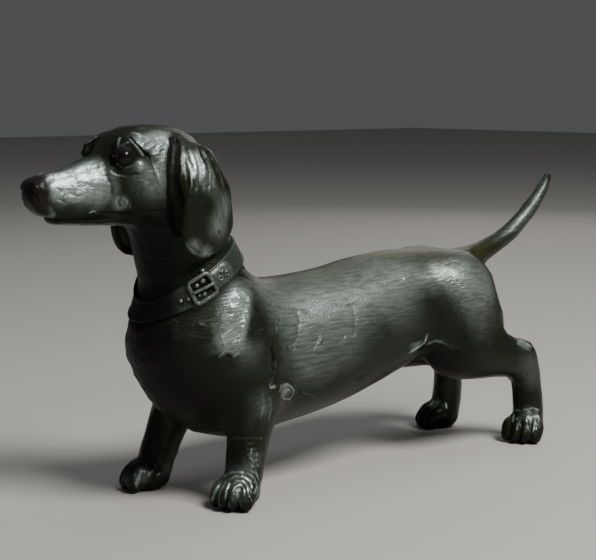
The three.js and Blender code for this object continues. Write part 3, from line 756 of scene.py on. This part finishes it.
def makeStrap(place):
    half = collar["width"] / 2
    thick = collar["thickness"]
    bead = collar["bead"]
    sink = collar["sink"]
    section = [(-half, -sink), (-half - 0.1, thick * 0.6), (-half + 0.15, thick + bead * 0.8),
               (-half + 0.6, thick + bead), (-half + 1.1, thick + bead * 0.5), (-half + 1.5, thick),
               (-2.2, thick + 0.03), (-1.5, thick + 0.05), (-0.7, thick + 0.07), (0, thick + 0.08),
               (0.7, thick + 0.07), (1.5, thick + 0.05), (2.2, thick + 0.03),
               (half - 1.5, thick), (half - 1.1, thick + bead * 0.5), (half - 0.6, thick + bead),
               (half - 0.15, thick + bead * 0.8), (half + 0.1, thick * 0.6), (half, -sink)]
    rings = [[place(turn, up, rise) for up, rise in section] for turn in np.arange(0, 360, 1.5)]
    return sweep("collarStrap", rings, True)


def makeBar(name, place, path, width, height, base, closed):
    # A rounded bar along a path of turns and heights. Its width lies in the strap and its height over it.
    rings = []
    count = len(path)
    for i, (turn, up) in enumerate(path):
        before = path[i - 1] if closed or i > 0 else path[i]
        after = path[(i + 1) % count] if closed or i < count - 1 else path[i]
        along = Vector(((after[0] - before[0]) * perDegree, after[1] - before[1])).normalized()
        ring = []
        for k in range(10):
            angle = 2 * math.pi * k / 10
            across = 0.5 * width * math.cos(angle)
            ring.append(place(turn - along.y * across / perDegree, up + along.x * across,
                              base + height * (0.5 + 0.5 * math.sin(angle))))
        rings.append(ring)
    return sweep(name, rings, closed)


def roundedLoop(turn, length, height, corner, steps):
    path = []
    for cx, cy, start in ((1, 1, 0), (-1, 1, 90), (-1, -1, 180), (1, -1, 270)):
        for i in range(steps + 1):
            angle = math.radians(start + 90 * i / steps)
            across = cx * (length / 2 - corner) + corner * math.cos(angle)
            up = cy * (height / 2 - corner) + corner * math.sin(angle)
            path.append((turn + across / perDegree, up))
    finer = []
    for i, (x, y) in enumerate(path):
        nextX, nextY = path[(i + 1) % len(path)]
        finer.append((x, y))
        if abs(nextX - x) * perDegree > 1 or abs(nextY - y) > 1:
            finer += [(x + (nextX - x) * share, y + (nextY - y) * share) for share in (0.2, 0.4, 0.6, 0.8)]
    return finer


def makeTongue(place):
    # The strap's free end: a flat plate with a round tip, laid over the strap behind the buckle.
    half = collar["tongueWidth"] / 2
    start = collar["buckleTurn"] - 0.42 * collar["buckleLength"] / perDegree
    tip = collar["tongueTip"]
    base = collar["thickness"] - 0.4
    rings = []
    steps = 20
    for i in range(steps + 1):
        turn = start + (tip - start) * i / steps
        fromTip = (turn - tip) * perDegree
        wide = half * math.sqrt(max(1 - max(1 - fromTip / collar["tongueRound"], 0) ** 2, 0.02))
        top = base + 0.4 + collar["tongueRise"] * min(1, 0.3 + fromTip / 0.8)
        section = [(-wide, base), (-wide, top - 0.25), (-wide + 0.3, top), (-0.3 * wide, top), (0, top),
                   (0.3 * wide, top), (wide - 0.3, top), (wide, top - 0.25), (wide, base)]
        rings.append([place(turn, up, rise) for up, rise in section])
    return sweep("collarTongue", rings, False)


def makeStud(name, place, turn, up, radius, base, height):
    # A small dome: rings of points around one place on the strap.
    rings = []
    for share, rise in collar["studProfile"]:
        ring = []
        for k in range(12):
            angle = 2 * math.pi * k / 12
            ring.append(place(turn + radius * share * math.cos(angle) / perDegree,
                              up + radius * share * math.sin(angle), base + height * rise))
        rings.append(ring)
    return sweep(name, rings, False)


def collarShade(points):
    # Painted shade: dark at the throat, where shade falls under the head, and in a thin line round the
    # buckle, the studs and the eyelets, where they meet the strap.
    up, turn, reach = collarCoordinates(points)
    turn = np.degrees(turn)
    shade = smoothStep(*collar["throat"], np.abs(turn))
    acrossBuckle = np.abs(np.abs(turn) - collar["buckleTurn"]) * perDegree - collar["buckleLength"] / 2
    overBuckle = np.abs(up) - collar["buckleHeight"] / 2 + 0.6
    outside = np.hypot(np.maximum(acrossBuckle, 0), np.maximum(overBuckle, 0))
    shade = np.maximum(shade, smoothStep(*collar["darkLine"], outside) * (turn > 0))
    rings = collar["studs"] + [(along, across, 0.9) for along, across in collar["eyelets"]]
    for along, across, radius in rings:
        away = np.hypot((turn - along) * perDegree, up - across)
        shade = np.maximum(shade, smoothStep(radius + 0.9, radius + 0.3, away) * 0.8)
    return shade


def makeCollar(body):
    place = neckSurface(body)
    turn = collar["buckleTurn"]
    half = collar["buckleLength"] / 2
    top = collar["thickness"]
    height = collar["buckleHeight"] - collar["buckleBar"]
    loop = roundedLoop(turn, collar["buckleLength"], height, collar["buckleCorner"], 4)
    pieces = [
        makeStrap(place),
        makeTongue(place),
        makeBar("collarBuckle", place, loop, collar["buckleBar"], collar["buckleRise"], top - 0.1, True),
    ]
    shares = np.linspace(0, 1, 9)
    prong = [(turn + half * (1 - 2 * share) / perDegree, 0.35 - 0.7 * share) for share in shares]
    bar = makeBar("collarProng", place, prong, collar["prongWidth"], collar["prongRise"], top + 0.6, False)
    pieces.append(bar)
    domes = (("collarStud", collar["studs"], collar["studRise"]),
             ("collarBoss", collar["bosses"], collar["bossRise"]))
    for name, places, rise in domes:
        for i, (along, across, radius) in enumerate(places):
            pieces.append(makeStud(name + str(i + 1), place, along, across, radius, top, rise))
    for i, (along, across) in enumerate(collar["eyelets"]):
        radius = collar["eyeletRadius"]
        angles = [k * math.pi / 6 for k in range(12)]
        ring = [(along + radius * math.cos(angle) / perDegree, across + radius * math.sin(angle))
                for angle in angles]
        lift = top + collar["tongueRise"] - 0.25
        pieces.append(makeBar("collarEyelet" + str(i + 1), place, ring, collar["eyeletWidth"],
                              collar["eyeletRise"], lift, True))
    for piece in pieces:
        kind = piece.name.rstrip("0123456789")
        # Painted shade on the strap and tongue, from collarShade.
        shaded = collarShade(pointsOf(piece) / mm) if kind in ("collarStrap", "collarTongue") else 0
        for name, values in (("relief", 0.55), ("rubbed", collar["rubbed"][kind]), ("shaded", shaded)):
            addMark(piece, name, values)
        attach(piece, "root")
        piece.data.materials.append(castResin)
    print("collar:", len(pieces), "pieces")


# Eyes: polished balls set in the carved sockets

eyes = {
    "pixel": (126, 157),
    "radius": 3.3,
    "proud": 1.15,
    "colour": (0.006, 0.005, 0.005, 1),
    "gloss": 0.14,
    "shine": 0.22,
}


def makeEyes(body):
    tree = treeOf(body)
    hit, normal = seenAt(tree, eyes["pixel"])
    centre = hit + normal * (eyes["proud"] - eyes["radius"]) * mm
    material, shader = newMaterial("polishedEye")
    shader.inputs["Base Color"].default_value = eyes["colour"]
    shader.inputs["Roughness"].default_value = eyes["gloss"]
    shader.inputs["Specular IOR Level"].default_value = eyes["shine"]
    for name, side in (("leftEye", 1), ("rightEye", -1)):
        bpy.ops.mesh.primitive_uv_sphere_add(segments=32, ring_count=20, radius=eyes["radius"] * mm,
                                             location=(centre.x, centre.y * side, centre.z))
        bpy.ops.object.transform_apply(location=True, rotation=True, scale=True)
        bpy.ops.object.shade_smooth()
        eye = bpy.context.object
        eye.name = name
        eye.data.materials.append(material)
        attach(eye, "root")
    print("eyes: two polished balls")


# Floor and light

studio = {
    "floorColour": (0.45, 0.435, 0.41, 1),
    "floorSize": 8,
    "target": (0, 0, 0.07),
    "roomColour": (0.82, 0.84, 0.86, 1),
    "roomStrength": 0.1,
    "lights": {
        "keyLight": {"place": (0.12, -0.82, 1.05), "size": (0.6, 0.45), "power": 24,
                     "colour": (1, 0.98, 0.95)},
        "skyLight": {"place": (0.35, 0.1, 1.4), "size": (0.8, 0.8), "power": 3,
                     "colour": (0.93, 0.97, 1)},
        "rimLight": {"place": (0.9, 0.7, 0.6), "size": (0.5, 0.8), "power": 1.2,
                     "colour": (1, 0.95, 0.9)},
    },
}


def addFloor():
    bpy.ops.mesh.primitive_plane_add(size=studio["floorSize"])
    floor = bpy.context.object
    floor.name = "paleFloor"
    material, shader = newMaterial("paleFloor")
    shader.inputs["Base Color"].default_value = studio["floorColour"]
    shader.inputs["Roughness"].default_value = 0.8
    floor.data.materials.append(material)


def addStudio():
    for name, values in studio["lights"].items():
        place = Vector(values["place"])
        bpy.ops.object.light_add(type="AREA", location=place)
        light = bpy.context.object
        light.name = name
        light.rotation_euler = (Vector(studio["target"]) - place).to_track_quat("-Z", "Y").to_euler()
        light.data.shape = "RECTANGLE"
        light.data.size, light.data.size_y = values["size"]
        light.data.energy = values["power"]
        light.data.color = values["colour"]
    world = bpy.data.worlds.new("softRoom")
    world.use_nodes = True
    background = world.node_tree.nodes["Background"]
    background.inputs["Color"].default_value = studio["roomColour"]
    background.inputs["Strength"].default_value = studio["roomStrength"]
    bpy.context.scene.world = world


# The finish: aged lacquer on resin, with painted highlights and painted shade

finish = {
    "dark": (0.014, 0.018, 0.010, 1),
    # Colour of the painted shade.
    "paintedShade": (0.006, 0.006, 0.005, 1),
    "olive": (0.034, 0.035, 0.014, 1),
    "silver": (0.37, 0.44, 0.41, 1),
    "noseTip": (0.010, 0.008, 0.007, 1),
    "metal": 0.35,
    "gloss": 0.32,
    "shine": 0.15,
    "coat": 0.05,
    "coatGloss": 0.3,
    "hairBump": 0.00026,
    "grainBump": 0.00012,
    "hairAlong": (130, 950, 950),       # noise cells per metre
    "hairUpright": (700, 700, 200),
    "grain": (1400, 1400, 1400),
    "clouds": (45, 45, 45),
    "proud": (0.58, 0.95),              # carved relief, where 0.5 is the plain skin
    # Painted shade in the carved grooves, read from the relief.
    "grooveShade": (0.48, 0.15),
    "hairGaps": (0.30, 0.66),
    "flecks": (0.38, 0.62),
    "rubbedHair": (0.45, 0.50),         # least silver in a silver patch, of wear and painted highlight alike, and what the hair adds
    "rubbedClouds": (0.6, 0.8),         # and what the clouds make of it
    "proudLeast": 0.2,
    "proudFlecks": 0.45,
    "proudHair": 0.4,
    "olivePatches": (0.3, 0.6),
    "oliveCover": 0.75,
    "roughClouds": 0.16,
    "roughSilver": 0.04,
    "roughInShade": 0.2,
    "metalSilver": 0.5,
    # Heights over which painted shade darkens the skin towards the ground.
    "groundShade": (0.007, 0.001),       # places in metres
    "backUp": (0.074, 0.091),
    "backFront": (-0.062, -0.034),
    "backRear": (0.104, 0.088),
    "noseEdge": (-0.1352, -0.1395),
}


def newGroup(name, inputs, outputs):
    group = bpy.data.node_groups.new(name, "ShaderNodeTree")
    for socket, kind in inputs:
        group.interface.new_socket(name=socket, in_out="INPUT", socket_type=kind)
    for socket, kind in outputs:
        group.interface.new_socket(name=socket, in_out="OUTPUT", socket_type=kind)
    return group, group.nodes.new("NodeGroupInput"), group.nodes.new("NodeGroupOutput")


def mathNode(tree, operation, first, second):
    node = tree.nodes.new("ShaderNodeMath")
    node.operation = operation
    for socket, value in zip(node.inputs, (first, second)):
        if isinstance(value, (int, float)):
            socket.default_value = value
        else:
            tree.links.new(value, socket)
    return node.outputs[0]


def levelNode(tree, base, value, share):
    # The base plus a share of the value.
    return mathNode(tree, "ADD", base, mathNode(tree, "MULTIPLY", value, share))


def rampNode(tree, value, low, high):
    node = tree.nodes.new("ShaderNodeMapRange")
    node.interpolation_type = "SMOOTHSTEP"
    node.inputs["From Min"].default_value = low
    node.inputs["From Max"].default_value = high
    tree.links.new(value, node.inputs["Value"])
    return node.outputs["Result"]


def noiseNode(tree, vector, scales, detail):
    mapping = tree.nodes.new("ShaderNodeMapping")
    mapping.inputs["Scale"].default_value = scales
    tree.links.new(vector, mapping.inputs["Vector"])
    texture = tree.nodes.new("ShaderNodeTexNoise")
    texture.inputs["Scale"].default_value = 1
    texture.inputs["Detail"].default_value = detail
    tree.links.new(mapping.outputs["Vector"], texture.inputs["Vector"])
    return texture.outputs["Fac"]


def mixColour(tree, factor, first, second):
    node = tree.nodes.new("ShaderNodeMix")
    node.data_type = "RGBA"
    sockets = [socket for socket in node.inputs if socket.type == "RGBA"]
    tree.links.new(factor, node.inputs[0])
    for socket, value in zip(sockets, (first, second)):
        if isinstance(value, tuple):
            socket.default_value = value
        else:
            tree.links.new(value, socket)
    return [socket for socket in node.outputs if socket.type == "RGBA"][0]


def combedHair():
    # Fine strokes that lie along the body, and upright on the legs and ears.
    group, given, result = newGroup(
        "combedHair",
        [("Vector", "NodeSocketVector"), ("Upright", "NodeSocketFloat")],
        [("Strokes", "NodeSocketFloat"), ("Grain", "NodeSocketFloat")])
    place = given.outputs["Vector"]
    upright = given.outputs["Upright"]
    level = noiseNode(group, place, finish["hairAlong"], 5)
    steep = noiseNode(group, place, finish["hairUpright"], 5)
    steep = mathNode(group, "MULTIPLY", steep, upright)
    level = mathNode(group, "MULTIPLY", level, mathNode(group, "SUBTRACT", 1, upright))
    group.links.new(mathNode(group, "ADD", steep, level), result.inputs["Strokes"])
    group.links.new(noiseNode(group, place, finish["grain"], 2), result.inputs["Grain"])
    return group


def agedResinAndPaintedLight():
    # Dark lacquer, olive over the back, and silvery where it is rubbed or stands proud, with painted
    # highlights in some silver patches and painted shade in grooves, near the ground and in the shaded
    # patches.
    group, given, result = newGroup(
        "agedResinAndPaintedLight",
        [("Vector", "NodeSocketVector"), ("Strokes", "NodeSocketFloat"), ("Grain", "NodeSocketFloat"),
         ("Relief", "NodeSocketFloat"), ("Rubbed", "NodeSocketFloat"), ("Shaded", "NodeSocketFloat")],
        [("Colour", "NodeSocketColor"), ("Roughness", "NodeSocketFloat"), ("Metallic", "NodeSocketFloat"),
         ("Height", "NodeSocketFloat")])
    relief = given.outputs["Relief"]
    place = given.outputs["Vector"]
    apart = group.nodes.new("ShaderNodeSeparateXYZ")
    group.links.new(place, apart.inputs[0])
    along = apart.outputs["X"]
    up = apart.outputs["Z"]
    clouds = noiseNode(group, place, finish["clouds"], 3)

    # Silver patches, partly rubbed places and partly painted highlights, broken up by the hair and in soft
    # clouds, and what is carved proud.
    proud = rampNode(group, relief, *finish["proud"])
    broken = rampNode(group, given.outputs["Strokes"], *finish["hairGaps"])
    least, share = finish["rubbedHair"]
    wearAndHighlight = levelNode(group, least, broken, share)
    wearAndHighlight = mathNode(group, "MULTIPLY", given.outputs["Rubbed"], wearAndHighlight)
    least, share = finish["rubbedClouds"]
    patchy = levelNode(group, least, clouds, share)
    wearAndHighlight = mathNode(group, "MULTIPLY", wearAndHighlight, patchy)
    flecks = rampNode(group, given.outputs["Grain"], *finish["flecks"])
    flecks = mathNode(group, "MULTIPLY", flecks, finish["proudFlecks"])
    ragged = levelNode(group, flecks, broken, finish["proudHair"])
    ragged = mathNode(group, "ADD", finish["proudLeast"], ragged)
    raised = mathNode(group, "MULTIPLY", proud, ragged)
    silver = mathNode(group, "MINIMUM", 1, mathNode(group, "ADD", wearAndHighlight, raised))

    # Painted shade: dark in the carved grooves, near the ground and in the shaded patches.
    grooveShade = rampNode(group, relief, *finish["grooveShade"])
    # Painted shade near the ground, darker towards the floor.
    low = rampNode(group, up, *finish["groundShade"])
    paintedShade = mathNode(group, "MAXIMUM", mathNode(group, "MAXIMUM", grooveShade, low), given.outputs["Shaded"])
    silver = mathNode(group, "MULTIPLY", silver, mathNode(group, "SUBTRACT", 1, paintedShade))

    # Olive over the back, from behind the collar to the tail.
    back = rampNode(group, up, *finish["backUp"])
    back = mathNode(group, "MULTIPLY", back, rampNode(group, along, *finish["backFront"]))
    back = mathNode(group, "MULTIPLY", back, rampNode(group, along, *finish["backRear"]))
    top = mathNode(group, "MULTIPLY", back, rampNode(group, clouds, *finish["olivePatches"]))
    ground = mixColour(group, top, finish["dark"], finish["olive"])
    ground = mixColour(group, paintedShade, ground, finish["paintedShade"])
    covered = mathNode(group, "SUBTRACT", 1, mathNode(group, "MULTIPLY", top, finish["oliveCover"]))
    silver = mathNode(group, "MULTIPLY", silver, covered)

    # The nose stays black.
    nose = rampNode(group, along, *finish["noseEdge"])
    clean = mathNode(group, "SUBTRACT", 1, nose)
    coloured = mixColour(group, mathNode(group, "MULTIPLY", silver, clean), ground, finish["silver"])
    group.links.new(mixColour(group, nose, coloured, finish["noseTip"]), result.inputs["Colour"])

    rough = levelNode(group, finish["gloss"] - finish["roughClouds"] / 2, clouds, finish["roughClouds"])
    rough = levelNode(group, rough, silver, finish["roughSilver"])
    rough = levelNode(group, rough, paintedShade, finish["roughInShade"])
    group.links.new(rough, result.inputs["Roughness"])
    metal = levelNode(group, finish["metal"], silver, finish["metalSilver"])
    group.links.new(mathNode(group, "MULTIPLY", metal, clean), result.inputs["Metallic"])
    hair = mathNode(group, "MULTIPLY", given.outputs["Strokes"], finish["hairBump"])
    grain = mathNode(group, "MULTIPLY", given.outputs["Grain"], finish["grainBump"])
    group.links.new(mathNode(group, "ADD", hair, grain), result.inputs["Height"])
    return group


def addGroup(tree, group):
    node = tree.nodes.new("ShaderNodeGroup")
    node.node_tree = group
    return node


def resinMaterial():
    material, shader = newMaterial("darkResin")
    tree = material.node_tree
    coordinates = tree.nodes.new("ShaderNodeTexCoord")
    marks = {}
    for name in ("relief", "rubbed", "shaded", "upright"):
        marks[name] = tree.nodes.new("ShaderNodeAttribute")
        marks[name].attribute_name = name
    hair = addGroup(tree, combedHair())
    resin = addGroup(tree, agedResinAndPaintedLight())
    tree.links.new(coordinates.outputs["Object"], hair.inputs["Vector"])
    tree.links.new(marks["upright"].outputs["Fac"], hair.inputs["Upright"])
    tree.links.new(coordinates.outputs["Object"], resin.inputs["Vector"])
    for name in ("Strokes", "Grain"):
        tree.links.new(hair.outputs[name], resin.inputs[name])
    for name in ("Relief", "Rubbed", "Shaded"):
        tree.links.new(marks[name.lower()].outputs["Fac"], resin.inputs[name])
    bump = tree.nodes.new("ShaderNodeBump")
    bump.inputs["Distance"].default_value = 1
    tree.links.new(resin.outputs["Height"], bump.inputs["Height"])
    for name, socket in (("Colour", "Base Color"), ("Roughness", "Roughness"), ("Metallic", "Metallic")):
        tree.links.new(resin.outputs[name], shader.inputs[socket])
    tree.links.new(bump.outputs["Normal"], shader.inputs["Normal"])
    shader.inputs["Specular IOR Level"].default_value = finish["shine"]
    shader.inputs["Coat Weight"].default_value = finish["coat"]
    shader.inputs["Coat Roughness"].default_value = finish["coatGloss"]
    return material


addCamera()
addFloor()
addStudio()
print("stage: camera, floor and light")
castResin = resinMaterial()
dogBody = makeDog()
dogBody.data.materials.append(castResin)
makeCollar(dogBody)
makeEyes(dogBody)
